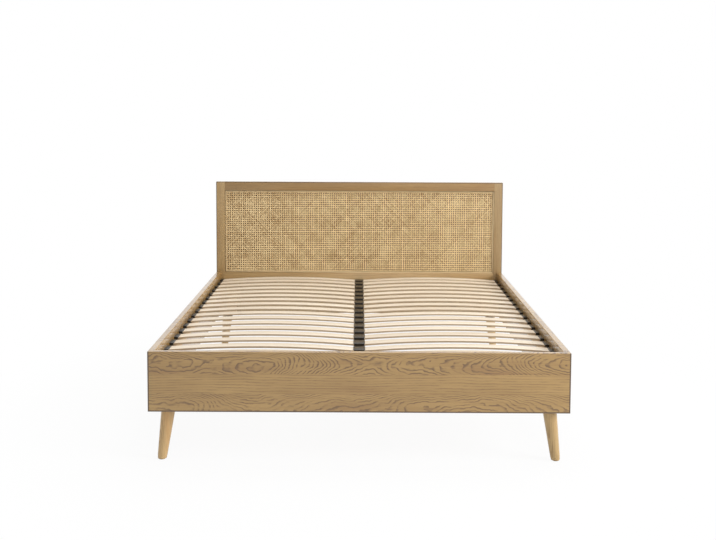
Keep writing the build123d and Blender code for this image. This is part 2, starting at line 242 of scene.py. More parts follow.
class Nodes:
    """The node tree of one finish or of the surroundings."""

    def __init__(self, tree):
        tree.nodes.clear()
        self.tree = tree

    def add(self, kind, settings=None, inputs=None, output=0):
        """Adds a node with these settings and inputs, and gives one of its outputs as a Value."""
        node = self.tree.nodes.new(kind)
        for name, value in (settings or {}).items():
            setattr(node, name, value)
        for key, value in (inputs or {}).items():
            if isinstance(value, Value):
                self.tree.links.new(value.socket, node.inputs[key])
            else:
                node.inputs[key].default_value = value
        return Value(self, node.outputs[output]) if len(node.outputs) else None

    def place(self):
        """The point on the surface in the bed's own frame, as three Values."""
        point = self.add("ShaderNodeTexCoord", output="Object")
        return [self.add("ShaderNodeSeparateXYZ", inputs={0: point}, output=axis) for axis in range(3)]

    def facing(self):
        """The surface's direction in the bed's own frame, as three Values."""
        normal = self.add("ShaderNodeTexCoord", output="Normal")
        return [self.add("ShaderNodeSeparateXYZ", inputs={0: normal}, output=axis) for axis in range(3)]

    def vector(self, x, y, z):
        return self.add("ShaderNodeCombineXYZ", inputs={0: x, 1: y, 2: z})

    def noise(self, x, y, z, detail=2.0, roughness=0.5, seed=0.0):
        """Noise from about 0 to 1 over three coordinates, each already in periods."""
        settings = {"noise_dimensions": "4D"}
        inputs = {"Vector": self.vector(x, y, z), "W": seed, "Scale": 1.0}
        inputs.update({"Detail": detail, "Roughness": roughness})
        return self.add("ShaderNodeTexNoise", settings, inputs)

    def mix(self, factor, first, second, blend="MIX"):
        settings = {"data_type": "RGBA", "blend_type": blend}
        return self.add("ShaderNodeMix", settings, {0: factor, 6: opaque(first), 7: opaque(second)}, output=2)

    def bump(self, height, strength, distance):
        inputs = {"Height": height, "Strength": strength, "Distance": distance}
        return self.add("ShaderNodeBump", inputs=inputs)


def opaque(paint):
    return paint if isinstance(paint, Value) else (*paint, 1.0)


def finish(name, paint, **sockets):
    """A material: paint gives the Principled BSDF's varying inputs, and sockets are its constants."""
    material = bpy.data.materials.new(name)
    material.use_nodes = True
    nodes = Nodes(material.node_tree)
    inputs = {key.replace("_", " "): value for key, value in sockets.items()}
    inputs.update(paint(nodes))
    shader = nodes.add("ShaderNodeBsdfPrincipled", inputs=inputs)
    nodes.add("ShaderNodeOutputMaterial", inputs={0: shader})
    return material


# Woods


def along_grain(nodes, axis):
    """The coordinates along the grain, across it and into the board."""
    x, y, z = nodes.place()
    return {"X": (x, z, y), "Y": (y, z, x), "Z": (z, x, y)}[axis]


def oak_grain(nodes, axis, seed, figure, rings, repeat=0.86, arches=0.0):
    """Growth lines, pores, fibres and tone of oak. figure is how many rings the grain wanders."""
    along, across, depth = along_grain(nodes, axis)
    turn = along * (math.tau / repeat)
    loop_x, loop_y = turn.cosine() * 0.62, turn.sine() * 0.62
    rise = across + depth * 0.8
    broad = nodes.noise(loop_x, loop_y, rise * 9.0, detail=1.0, roughness=0.4, seed=seed)
    flames = nodes.noise(loop_x * 5.0, loop_y * 5.0, rise * 30.0, detail=2.0, roughness=0.5, seed=seed + 5)
    field = (broad + flames * 0.24) * figure + rise * rings + arches
    ring = field.fraction()
    lines = ring.rise(0.42, 0.86) * (1.0 - ring.rise(0.9, 1.0))
    breaks = nodes.noise(along * 14.0, across * 75.0, depth * 75.0, detail=2.0, roughness=0.6, seed=seed + 2)
    fibres = nodes.noise(
        along * 4.0, across * 330.0, depth * 330.0, detail=3.0, roughness=0.65, seed=seed + 4
    )
    tone = nodes.noise(along * 2.3, across * 14.0, depth * 14.0, detail=2.0, seed=seed + 3)
    pores = nodes.noise(along * 60.0, across * 1500.0, depth * 1500.0, detail=1.0, seed=seed + 9)
    return lines * breaks.rise(0.3, 0.62), pores.rise(0.55, 0.68), fibres, tone


def oak_paint(nodes, grain, tones, strength=1.0, edge=None):
    """Colour, roughness and normal of lacquered oak from its grain, with painted shade along the outer edges
    where an edge mask is given.
    """
    lines, pores, fibres, tone = grain
    light, middle, dark = tones
    body = nodes.mix((fibres * 1.8 + tone * 2.4 - 1.6).clamped(), light, middle)
    body = nodes.mix(tone.rise(0.56, 0.74) * 0.45, body, (dark[0] * 1.75, dark[1] * 1.6, dark[2] * 1.5))
    darkness = lines * strength + pores * (0.12 + 0.35 * lines)
    paint = nodes.mix(darkness.clamped(), body, dark)
    # Painted shade: within the edge mask the colour goes towards half the dark tone, standing in for shade on
    # the rounded edges.
    if edge is not None:
        paint = nodes.mix(edge * 0.95, paint, tuple(channel * 0.5 for channel in dark))
    relief = 1.0 - pores * 0.6 - lines * 0.3
    return {
        "Base Color": paint,
        "Roughness": 0.34 + 0.1 * lines + 0.14 * pores,
        "Normal": nodes.bump(relief, 0.25, 0.0002),
    }


def painted_edge_shade(nodes, name, reach, top=False):
    """Mask of painted shade on rounded edges: 1 on the front within a few millimetres of a part's outer sides
    and its lower or top edge.
    """
    x, _, z = nodes.place()
    low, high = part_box(name)
    side = (abs(x) - (high.x - reach)).rise(0.0, reach * 0.3)
    beyond = z - (high.z - reach) if top else (low.z + reach) - z
    _, facing_y, _ = nodes.facing()
    return side.maths("MAXIMUM", side, beyond.rise(0.0, reach * 0.3)) * abs(facing_y).rise(0.3, 0.6)


def nested_arches(nodes, axis, centre, phase):
    """Growth rings cut nearly flat, as arches stacked along the grain about a centre line."""
    along, across, _ = along_grain(nodes, axis)
    sway = nodes.noise(along * 2.6, phase, 0.5, detail=1.0) * 0.03 - 0.015
    offset = across - centre + sway
    stack = (along * 4.1 + phase).sine() * 9.0 + (along * 11.3 + phase * 2.0).sine() * 2.2
    return offset * offset * 1400.0 + stack


def veneer(axis, seed):
    """Oak veneer laid in three strips: strong figure on top, plain in the middle, mild below."""

    def paint(nodes):
        _, _, z = nodes.place()
        low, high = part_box("footboard")
        drop = high.z - low.z
        upper = z > high.z - 0.365 * drop
        lower = z < low.z + 0.305 * drop
        figure = 2.0 + upper * 8.0 + lower * 7.0
        rings = 90.0 - upper * 75.0 - lower * 35.0
        crest = nested_arches(nodes, axis, high.z - 0.2 * drop, seed)
        swell = nested_arches(nodes, axis, low.z + 0.1 * drop, seed + 2.0)
        arches = upper * crest + lower * swell * 0.6
        grain = oak_grain(nodes, axis, upper * 3.1 + lower * 7.7 + seed, figure, rings, arches=arches)
        # Painted shade along the footboard's outer sides and lower edge.
        edge = painted_edge_shade(nodes, "footboard", 0.007) if axis == "X" else None
        return oak_paint(nodes, grain, oak_tones("veneer"), 0.5 + upper * 0.6 + lower * 0.4, edge)

    return paint


def oak_tones(part):
    woods = bpy.context.scene.bed_woods
    return [getattr(woods, f"{part}_{shade}") for shade in ("light", "mid", "dark")]


def solid_oak(axis, seed, part, tone_and_light_tint=(1.0, 1.0, 1.0), figure=3.0, rings=110.0, strength=0.5):
    """Solid oak in the tones of a part times a colour factor, with fairly straight grain. On some pieces the
    factor holds painted light or shade, and on the headboard frame shade is painted along the outer edges.
    """

    def paint(nodes):
        grain = oak_grain(nodes, axis, seed, figure, rings, repeat=2.4)
        tones = [tuple(channel * share for channel, share in zip(tone, tone_and_light_tint)) for tone in oak_tones(part)]
        # Painted shade along the headboard frame's outer sides and top edge.
        edge = painted_edge_shade(nodes, "headboard_stile_right", 0.005, top=True) if part == "frame" else None
        return oak_paint(nodes, grain, tones, strength, edge)

    return paint


def pine(axis, seed):
    """Planed pine with broad rings and a few knots."""

    def paint(nodes):
        woods = bpy.context.scene.bed_woods
        along, across, depth = along_grain(nodes, axis)
        wander = nodes.noise(along * 1.6, across * 16.0, depth * 16.0, detail=2.0, seed=seed)
        spread = nodes.vector(along * 2.6, across * 13.0, depth * 13.0)
        settings = {"voronoi_dimensions": "4D"}
        cells = nodes.add("ShaderNodeTexVoronoi", settings, {"Vector": spread, "Scale": 1.0, "W": seed})
        knots = 1.0 - cells.rise(0.06, 0.2)
        rings = ((wander * 4.0 + (across + depth) * 70.0 + knots * 1.5).fraction()).rise(0.15, 0.95)
        fibres = nodes.noise(along * 20.0, across * 900.0, depth * 900.0, detail=2.0, seed=seed + 1)
        shade = (rings * 0.65 + knots * 0.8 + fibres * 0.35 - 0.1).clamped()
        return {
            "Base Color": nodes.mix(shade, woods.pine_light, woods.pine_dark),
            "Roughness": 0.6 - 0.12 * rings,
            "Normal": nodes.bump(fibres + rings * 0.5, 0.25, 0.0003),
        }

    return paint


def slat_rows():
    """Where the first row of slats lies along the bed, and the distance between rows."""
    first, last = [sum(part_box(f"slat_right_{row:02d}"), Vector()) / 2 for row in (1, ROWS)]
    return first.y, (last.y - first.y) / (ROWS - 1)


def birch(nodes):
    """Laminated birch: pale rotary-cut faces, and the plies and glue lines on the edges, which are also
    painted darker as shade.
    """
    woods = bpy.context.scene.bed_woods
    x, y, z = nodes.place()
    _, facing_y, _ = nodes.facing()
    low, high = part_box("slat_right_01")
    middle, half = (low.x + high.x) / 2, (high.x - low.x) / 2
    camber = high.z - low.z - SLAT_THICKNESS
    along = (abs(x) - middle) / half
    depth = (high.z - camber * (along * along) - z) * (1 / SLAT_THICKNESS)
    plies = (depth * 6.0).fraction()
    glue = (plies.rise(0.8, 0.97) + (1.0 - plies.rise(0.03, 0.16))).clamped()
    cross_ply = ((depth * 3.0).fraction() > 0.5) * 0.3
    edge = abs(facing_y).rise(0.5, 0.8)
    first, pitch = slat_rows()
    row = (y - first) * (1 / pitch) + 0.5
    slat = row - row.fraction() + (x > 0.0) * 31.0
    figure = nodes.noise(x * 2.2, y * 34.0, slat * 3.7, detail=3.0, roughness=0.55)
    flecks = nodes.noise(x * 55.0, y * 700.0, slat * 1.3, detail=1.0).rise(0.6, 0.76)
    bands = ((figure * 7.0).sine() * 0.5 + 0.5) * 0.2
    tone = nodes.noise(slat * 5.3, x * 1.3, 0.5, detail=1.0) * 0.5 - 0.12
    face_shade = (bands + flecks * 0.3 + tone).clamped()
    # Painted shade: the edges facing along the bed are darkened by a flat 0.6 besides their plies and glue
    # lines.
    edge_plies_and_painted_shade = (glue * 0.6 + cross_ply + 0.6).clamped()
    shade = face_shade + edge * (edge_plies_and_painted_shade - face_shade)
    return {
        "Base Color": nodes.mix(shade, woods.birch_light, woods.birch_dark),
        "Roughness": 0.42 + 0.25 * edge + 0.1 * flecks,
        "Normal": nodes.bump(flecks + glue * edge, 0.2, 0.0002),
    }


def cane_skin(nodes):
    """Split rattan skin: its tone goes strand by strand, with fine fibres, stem nodes and a waxy shine."""
    woods = bpy.context.scene.bed_woods
    tone = nodes.add("ShaderNodeAttribute", {"attribute_name": "tone"}, output="Fac")
    along = nodes.add("ShaderNodeAttribute", {"attribute_name": "along"}, output="Fac")
    x, y, z = nodes.place()
    patch = nodes.noise(x * 9.0, y * 9.0, z * 9.0, detail=2.0)
    fade = nodes.noise(along * 7.0, tone * 90.0, 0.5, detail=2.0, roughness=0.6)
    fibre = nodes.noise(along * 60.0, tone * 200.0, y * 3000.0, detail=2.0)
    stem = (along * 3.6 + tone * 9.0).fraction()
    joint = (stem < 0.012) * 0.35
    shade = (tone * 1.3 + fade * 2.4 + patch * 0.1 + fibre * 0.2 - 1.6 + joint).clamped()
    return {
        "Base Color": nodes.mix(shade, woods.cane_light, woods.cane_dark),
        "Roughness": 0.42 + 0.2 * fibre,
        "Normal": nodes.bump(fibre, 0.2, 0.0001),
    }


def backing(nodes):
    """Brown fibreboard with its fine felted surface, darker on the face behind the cane."""
    woods = bpy.context.scene.bed_woods
    x, y, z = nodes.place()
    fibres = nodes.noise(x * 420.0, y * 420.0, z * 420.0, detail=3.0)
    cloud = nodes.noise(x * 12.0, y * 12.0, z * 12.0)
    _, facing_y, _ = nodes.facing()
    # The face behind the cane is darkened to about half the board's colour.
    darker_front_face = tuple(channel * 0.48 for channel in woods.board)
    pale = tuple(min(1.0, channel * 1.45) for channel in woods.board)
    board = nodes.mix((fibres * 0.6 + cloud * 0.5 - 0.1).clamped(), pale, woods.board)
    return {
        "Base Color": nodes.mix(facing_y < -0.5, board, darker_front_face),
        "Roughness": 0.75 + 0.15 * fibres,
        "Normal": nodes.bump(fibres, 0.2, 0.0002),
    }


def bead_wood(nodes):
    """Pale lacquered strip with fine straight grain, whichever way it runs."""
    woods = bpy.context.scene.bed_woods
    x, y, z = nodes.place()
    low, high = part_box("cane_bead")
    upright = abs(x) > high.x - BEAD_FACE
    across_rail = nodes.noise(x * 9.0, y * 700.0, z * 700.0, detail=2.0)
    across_stile = nodes.noise(x * 700.0, y * 700.0, z * 9.0, detail=2.0)
    fibres = across_rail + upright * (across_stile - across_rail)
    dark = tuple(channel * 0.66 for channel in woods.bead)
    return {
        "Base Color": nodes.mix(fibres.rise(0.35, 0.75), woods.bead, dark),
        "Roughness": 0.4 + 0.12 * fibres,
        "Normal": nodes.bump(fibres, 0.15, 0.0002),
    }


# Plastics, metals and felt


def moulded(tone):
    """Moulded plastic with a fine spark texture and scuffs."""

    def paint(nodes):
        base = getattr(bpy.context.scene.bed_fittings, tone)
        x, y, z = nodes.place()
        sparks = nodes.noise(x * 1600.0, y * 1600.0, z * 1600.0, detail=1.0)
        scuffs = nodes.noise(x * 60.0, y * 60.0, z * 60.0, detail=3.0).rise(0.55, 0.8)
        worn = tuple(channel + 0.015 for channel in base)
        return {
            "Base Color": nodes.mix(scuffs, base, worn),
            "Roughness": 0.24 + 0.12 * scuffs + 0.08 * sparks,
            "Normal": nodes.bump(sparks, 0.2, 0.0001),
        }

    return paint


def powder_coat(nodes):
    """Black powder coat with its faint orange peel."""
    base = bpy.context.scene.bed_fittings.steel
    x, y, z = nodes.place()
    peel = nodes.noise(x * 700.0, y * 700.0, z * 700.0, detail=2.0)
    dust = nodes.noise(x * 40.0, y * 40.0, z * 40.0, detail=3.0).rise(0.5, 0.85)
    dusty = tuple(channel + 0.02 for channel in base)
    return {
        "Base Color": nodes.mix(dust, base, dusty),
        "Roughness": 0.4 + 0.1 * peel + 0.1 * dust,
        "Normal": nodes.bump(peel, 0.25, 0.0001),
    }


def zinc_plate(nodes):
    """Bright zinc with the cloudy spangle and fine scratches of small hardware."""
    base = bpy.context.scene.bed_fittings.zinc
    x, y, z = nodes.place()
    spangle = nodes.noise(x * 500.0, y * 500.0, z * 500.0, detail=2.0)
    scratches = nodes.noise(x * 3000.0, y * 3000.0, z * 200.0, detail=1.0)
    dull = tuple(channel * 0.7 for channel in base)
    return {
        "Base Color": nodes.mix(spangle.rise(0.3, 0.7), base, dull),
        "Roughness": 0.28 + 0.15 * spangle + 0.1 * scratches,
        "Normal": nodes.bump(scratches, 0.1, 0.0001),
    }


def pressed_felt(nodes):
    """Brown pressed felt with matted fibres."""
    base = bpy.context.scene.bed_fittings.felt
    x, y, z = nodes.place()
    fibres = nodes.noise(x * 900.0, y * 900.0, z * 900.0, detail=3.0, roughness=0.7)
    pale = tuple(channel * 1.9 for channel in base)
    return {
        "Base Color": nodes.mix(fibres.rise(0.35, 0.7), base, pale),
        "Roughness": 0.9 + 0.08 * fibres,
        "Normal": nodes.bump(fibres, 0.6, 0.0004),
    }


# Shaping


def clothe(obj, material):
    """Gives a whole object one material."""
    obj.data.materials.clear()
    obj.data.materials.append(material)


def shading_by_angle():
    """A geometry node group that smooths every face and keeps edges above an angle sharp."""
    name = "shading_by_angle"
    if name in bpy.data.node_groups:
        return bpy.data.node_groups[name]
    group = bpy.data.node_groups.new(name, "GeometryNodeTree")
    group.interface.new_socket("Geometry", in_out="INPUT", socket_type="NodeSocketGeometry")
    group.interface.new_socket("Geometry", in_out="OUTPUT", socket_type="NodeSocketGeometry")
    start = group.nodes.new("NodeGroupInput")
    end = group.nodes.new("NodeGroupOutput")
    faces = group.nodes.new("GeometryNodeSetShadeSmooth")
    edges = group.nodes.new("GeometryNodeSetShadeSmooth")
    edges.domain = "EDGE"
    edges.inputs["Shade Smooth"].default_value = False
    angle = group.nodes.new("GeometryNodeInputMeshEdgeAngle")
    sharp = group.nodes.new("FunctionNodeCompare")
    sharp.operation = "GREATER_THAN"
    sharp.inputs[1].default_value = bpy.context.scene.bed_edges.smooth_below
    group.links.new(start.outputs[0], faces.inputs["Geometry"])
    group.links.new(faces.outputs[0], edges.inputs["Geometry"])
    group.links.new(angle.outputs[0], sharp.inputs[0])
    group.links.new(sharp.outputs[0], edges.inputs["Selection"])
    group.links.new(edges.outputs[0], end.inputs[0])
    return group


def ease_edges(obj, width=None):
    """Joins the split corners of a CAD mesh, rounds its sharp edges and smooths its curves."""
    weld = obj.modifiers.new("weld", "WELD")
    weld.merge_threshold = 0.00001
    if width:
        bevel = obj.modifiers.new("eased_edges", "BEVEL")
        bevel.width = width
        bevel.segments = 2
        bevel.limit_method = "ANGLE"
        bevel.angle_limit = bpy.context.scene.bed_edges.smooth_below
    shading = obj.modifiers.new("shading", "NODES")
    shading.node_group = shading_by_angle()


def next_row(name, source):
    """A copy of a node's last row as a new piece, set as near the headboard as its holders go."""
    first, pitch = slat_rows()
    shift = Vector((0, LAST_ROW - first - (ROWS - 1) * pitch, 0))
    points = [source.matrix_world @ vertex.co for vertex in source.data.vertices]
    kept = [index for index, point in enumerate(points) if point.y > first + (ROWS - 1.5) * pitch]
    renumbered = {index: place for place, index in enumerate(kept)}
    polygons = [face.vertices for face in source.data.polygons if face.vertices[0] in renumbered]
    faces = [[renumbered[index] for index in polygon] for polygon in polygons]
    return piece(name, [points[index] + shift for index in kept], faces)


def piece(name, vertices, faces, body=BODY):
    """A new mesh piece in the bed's frame that rides on a body."""
    mesh = bpy.data.meshes.new(name)
    mesh.from_pydata(vertices, [], faces)
    mesh.validate()
    obj = bpy.data.objects.new(name, mesh)
    bpy.context.scene.collection.objects.link(obj)
    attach(obj, body)
    return obj


# Woven cane


class Weave:
    """Gathers the rings of many strands into one mesh, with each strand's tone and the distance along it."""

    def __init__(self, sizes, seed):
        self.sizes = sizes
        self.random = random.Random(sizes.seed + seed)
        self.vertices, self.faces, self.tones, self.alongs = [], [], [], []

    def strand(self, start, end, width, sway, plane):
        """Adds one strand between two points of the panel. sway gives its depth at a point."""
        sizes = self.sizes
        span = end - start
        steps = max(1, round(span.length * sizes.steps / self.period(span)))
        sideways = Vector((-span.y, span.x)).normalized()
        start = start + sideways * self.random.uniform(-sizes.stray, sizes.stray)
        half = width / 2 * self.random.uniform(0.9, 1.08)
        tone = self.random.betavariate(2.2, 2.6)
        base = len(self.vertices)
        for step in range(steps + 1):
            point = start + span * (step / steps)
            depth = plane + sway(point)
            for offset, lift in ((-half, 0.0), (0.0, sizes.strand_thickness), (half, 0.0)):
                edge = point + sideways * offset
                self.vertices.append((edge.x, depth - lift, edge.y))
                self.tones.append(tone)
                self.alongs.append(span.length * step / steps + tone * 10.0)
        for step in range(steps):
            ring = base + 3 * step
            self.faces += [(ring, ring + 3, ring + 4, ring + 1), (ring + 1, ring + 4, ring + 5, ring + 2)]

    def period(self, span):
        """The length of one pitch along a strand's own direction."""
        straight = min(abs(span.x), abs(span.y)) < 1e-6
        return self.sizes.pitch * (1.0 if straight else math.sqrt(2.0))

    def build(self, name, material):
        obj = piece(name, self.vertices, self.faces)
        for attribute, values in (("tone", self.tones), ("along", self.alongs)):
            layer = obj.data.attributes.new(attribute, "FLOAT", "POINT")
            layer.data.foreach_set("value", values)
        obj.data.shade_smooth()
        clothe(obj, material)
        return obj


def weave_panel(sizes, low, high, plane, material):
    """Pairs of uprights, pairs of crosswise strands and two sets of diagonals, woven over and under."""
    columns = round((high.x - low.x) / sizes.pitch)
    rows = round((high.y - low.y) / sizes.pitch)
    pitch_x, pitch_z = (high.x - low.x) / columns, (high.y - low.y) / rows

    def wave(offset, pitch, size):
        return size * math.cos(math.tau * offset / pitch)

    def up_wave(sign):
        return lambda point: sign * wave(point.y - low.y - pitch_z / 4, pitch_z, sizes.sway)

    def cross_wave(sign):
        return lambda point: sign * wave(point.x - low.x - pitch_x / 4, pitch_x, sizes.sway)

    def diagonal_wave(sign):
        return lambda point: sign * wave(point.x - low.x, pitch_x, sizes.sway * 1.5)

    made = []
    for order, side in ((1, -1), (2, 1)):
        uprights, crosswise = Weave(sizes, order), Weave(sizes, 10 + order)
        for column in range(columns + 1):
            x = low.x + column * pitch_x + side * sizes.spread / 2
            if low.x < x < high.x:
                ends = Vector((x, low.y)), Vector((x, high.y))
                uprights.strand(*ends, sizes.strand_width, up_wave(side), plane)
        for row in range(rows + 1):
            z = low.y + row * pitch_z + side * sizes.spread / 2
            if low.y < z < high.y:
                ends = Vector((low.x, z)), Vector((high.x, z))
                crosswise.strand(*ends, sizes.strand_width, cross_wave(-side), plane)
        made.append(uprights.build(f"cane_uprights_{order}", material))
        made.append(crosswise.build(f"cane_crosswise_{order}", material))
    for name, lean in (("rising", 1), ("falling", -1)):
        diagonals = Weave(sizes, 20 + lean)
        for line in range(-rows - 1, columns + rows + 1):
            ends = clipped_diagonal(low, high, (line + 0.5) * pitch_x, pitch_z / pitch_x, lean)
            if ends:
                diagonals.strand(*ends, sizes.diagonal_width, diagonal_wave(lean), plane)
        made.append(diagonals.build(f"cane_diagonals_{name}", material))
    return made


def clipped_diagonal(low, high, reach, slope, lean):
    """The part within the panel of a diagonal that meets its lower edge at a reach from the left."""
    rise = high.y - low.y
    run = rise / slope
    x0, x1 = low.x + reach, low.x + reach + lean * run
    span = x1 - x0
    enter = max(0.0, min((low.x - x0) / span, (high.x - x0) / span))
    leave = min(1.0, max((low.x - x0) / span, (high.x - x0) / span))
    if leave - enter < 0.01:
        return None
    return [Vector((x0 + span * share, low.y + rise * share)) for share in (enter, leave)]


# Screws


def screw_head(sizes):
    """One domed screw head with a cross recess, standing on Z = 0 and facing +Z, as vertices and faces."""
    shape = bmesh.new()
    rings, around = 4, 24
    loops = []
    for ring in range(rings + 1):
        angle = math.radians(8 + 82 * ring / rings)
        radius = sizes.head_radius * math.cos(angle) if ring < rings else 0.0
        height = sizes.head_height * math.sin(angle)
        turns = around if ring < rings else 1
        bearings = [math.tau * k / turns for k in range(turns)]
        ring_points = [(radius * math.cos(turn), radius * math.sin(turn), height) for turn in bearings]
        loops.append([shape.verts.new(point) for point in ring_points])
    for inner, outer in zip(loops[1:-1], loops[:-2]):
        for k in range(around):
            shape.faces.new((outer[k], outer[(k + 1) % around], inner[(k + 1) % around], inner[k]))
    for k in range(around):
        shape.faces.new((loops[-2][k], loops[-2][(k + 1) % around], loops[-1][0]))
    skirt = [shape.verts.new((vertex.co.x, vertex.co.y, 0.0)) for vertex in loops[0]]
    for k in range(around):
        shape.faces.new((skirt[k], skirt[(k + 1) % around], loops[0][(k + 1) % around], loops[0][k]))
    shape.faces.new(list(reversed(skirt)))
    dome = bpy.data.meshes.new("screw_dome")
    shape.to_mesh(dome)
    shape.free()
    return recessed(dome, sizes)


def recessed(dome, sizes):
    """Cuts the cross recess into a screw's dome and gives its vertices and faces."""
    head = bpy.data.objects.new("screw_dome", dome)
    bpy.context.scene.collection.objects.link(head)
    cutters = []
    for arm in range(2):
        shape = bmesh.new()
        reach = sizes.head_radius * 0.55
        across, along = (sizes.slot_width, 2 * reach) if arm else (2 * reach, sizes.slot_width)
        stretch = Matrix.Diagonal((across, along, sizes.head_height, 1.0))
        lift = Matrix.Translation((0, 0, sizes.head_height * 0.95))
        bmesh.ops.create_cube(shape, size=1.0, matrix=lift @ stretch)
        for vertex in shape.verts:
            if vertex.co.z < sizes.head_height * 0.9:
                vertex.co.x *= 0.6
                vertex.co.y *= 0.6
        mesh = bpy.data.meshes.new("screw_recess")
        shape.to_mesh(mesh)
        shape.free()
        cutter = bpy.data.objects.new("screw_recess", mesh)
        bpy.context.scene.collection.objects.link(cutter)
        cut = head.modifiers.new("recess", "BOOLEAN")
        cut.operation = "DIFFERENCE"
        cut.object = cutter
        cutters.append(cutter)
    bpy.context.view_layer.update()
    cut_mesh = bpy.data.meshes.new_from_object(head.evaluated_get(bpy.context.evaluated_depsgraph_get()))
    vertices = [vertex.co.copy() for vertex in cut_mesh.vertices]
    faces = [tuple(polygon.vertices) for polygon in cut_mesh.polygons]
    for spare in (head, *cutters):
        bpy.data.objects.remove(spare)
    return vertices, faces


def drive_screws(name, head, places, material):
    """One piece of many screw heads, each at a point and facing a direction, turned a different way."""
    turns = random.Random(name)
    vertices, faces = [], []
    for point, facing in places:
        turned = Matrix.Rotation(turns.uniform(0, math.pi / 2), 4, "Z")
        aim = Vector(facing).to_track_quat("Z", "Y").to_matrix().to_4x4()
        pose = Matrix.Translation(point) @ aim @ turned
        base = len(vertices)
        vertices += [pose @ vertex for vertex in head[0]]
        faces += [tuple(base + index for index in face) for face in head[1]]
    obj = piece(name, vertices, faces)
    ease_edges(obj)
    clothe(obj, material)
    return obj


# Operators


class BED_OT_boards(bpy.types.Operator):
    """Lay figured oak veneer on the footboard and side rails"""

    bl_idname = "bed.boards"
    bl_label = "Boards"

    def execute(self, context):
        across = finish("footboard_veneer", veneer("X", 1.0), Coat_Weight=1.0, Coat_Roughness=0.16)
        clothe(NODES["footboard"], across)
        for side, seed in zip(SIDES, (12.0, 17.0)):
            rail = NODES[f"side_rail_{side}"]
            name = f"side_rail_veneer_{side}"
            clothe(rail, finish(name, veneer("Y", seed), Coat_Weight=1.0, Coat_Roughness=0.16))
        for name in ("footboard", "side_rail_left", "side_rail_right"):
            ease_edges(NODES[name])
        return {"FINISHED"}


class BED_OT_headboard(bpy.types.Operator):
    """Finish the headboard's oak frame, the bead and the board behind the cane"""

    bl_idname = "bed.headboard"
    bl_label = "Headboard frame"

    def execute(self, context):
        edges = context.scene.bed_edges
        # Each piece's colour factor scales the frame's tones. The right stile's is raised and bluer as
        # painted light from the key lamp on its side; the top rail is made darker and more orange, the bottom
        # rail paler.
        grains = {
            "headboard_stile_left": ("Z", 21.0, (1.0, 1.0, 0.94)),
            "headboard_stile_right": ("Z", 26.0, (1.02, 1.05, 1.12)),
            "headboard_top_rail": ("X", 31.0, (0.86, 0.79, 0.66)),
            "headboard_bottom_rail": ("X", 37.0, (1.1, 1.1, 1.05)),
        }
        for name, (axis, seed, tone_and_light_tint) in grains.items():
            oak = solid_oak(axis, seed, "frame", tone_and_light_tint)
            clothe(NODES[name], finish(f"{name}_oak", oak, Coat_Weight=0.45, Coat_Roughness=0.2))
            ease_edges(NODES[name], 0.0006)
        clothe(NODES["headboard_back_panel"], finish("backing_board", backing))
        ease_edges(NODES["headboard_back_panel"], edges.timber)
        clothe(NODES["cane_bead"], finish("cane_bead_wood", bead_wood, Coat_Weight=0.1, Coat_Roughness=0.3))
        ease_edges(NODES["cane_bead"])
        return {"FINISHED"}


class BED_OT_cane(bpy.types.Operator):
    """Weave the cane panel strand by strand in place of the plain sheet"""

    bl_idname = "bed.cane"
    bl_label = "Woven cane"

    def execute(self, context):
        low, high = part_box("cane_webbing")
        plane = (low.y + high.y) / 2 + 0.0001
        skin = finish("cane_skin", cane_skin, Coat_Weight=0.15, Coat_Roughness=0.3)
        strands = weave_panel(context.scene.bed_weave, low.xz, high.xz, plane, skin)
        if not strands:
            raise RuntimeError("the cane panel has no strands")
        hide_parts("cane_webbing")
        return {"FINISHED"}


class BED_OT_slats(bpy.types.Operator):
    """Finish the sprung slats in laminated birch"""

    bl_idname = "bed.slats"
    bl_label = "Sprung slats"

    def execute(self, context):
        wood = finish("laminated_birch", birch, Coat_Weight=0.08, Coat_Roughness=0.3)
        last = [
            next_row(f"slat_{side}_{ROWS + 1}", NODES[f"slat_{side}_{ROWS}"])
            for side in SIDES
        ]
        for slat in [NODES[name] for name in SLATS] + last:
            clothe(slat, wood)
            ease_edges(slat, context.scene.bed_edges.timber)
        return {"FINISHED"}


class BED_OT_holders(bpy.types.Operator):
    """Finish the moulded slat holders"""

    bl_idname = "bed.holders"
    bl_label = "Slat holders"

    def execute(self, context):
        plastic = finish("holder_plastic", moulded("plastic"), Specular_IOR_Level=0.4)
        last = [next_row(f"{name}_{ROWS + 1}", NODES[name]) for name in HOLDERS]
        for holder in [NODES[name] for name in HOLDERS] + last:
            clothe(holder, plastic)
            ease_edges(holder, context.scene.bed_edges.plastic)
        return {"FINISHED"}


class BED_OT_support(bpy.types.Operator):
    """Finish the battens, the centre beam and the corner blocks"""

    bl_idname = "bed.support"
    bl_label = "Battens, beam and blocks"

    def execute(self, context):
        for name, axis, seed in (
            ("slat_batten_left", "Y", 41.0),
            ("slat_batten_right", "Y", 43.0),
            ("centre_beam", "Y", 47.0),
            ("corner_blocks", "Z", 53.0),
        ):
            clothe(NODES[name], finish(f"{name}_pine", pine(axis, seed)))
            ease_edges(NODES[name], context.scene.bed_edges.timber)
        return {"FINISHED"}


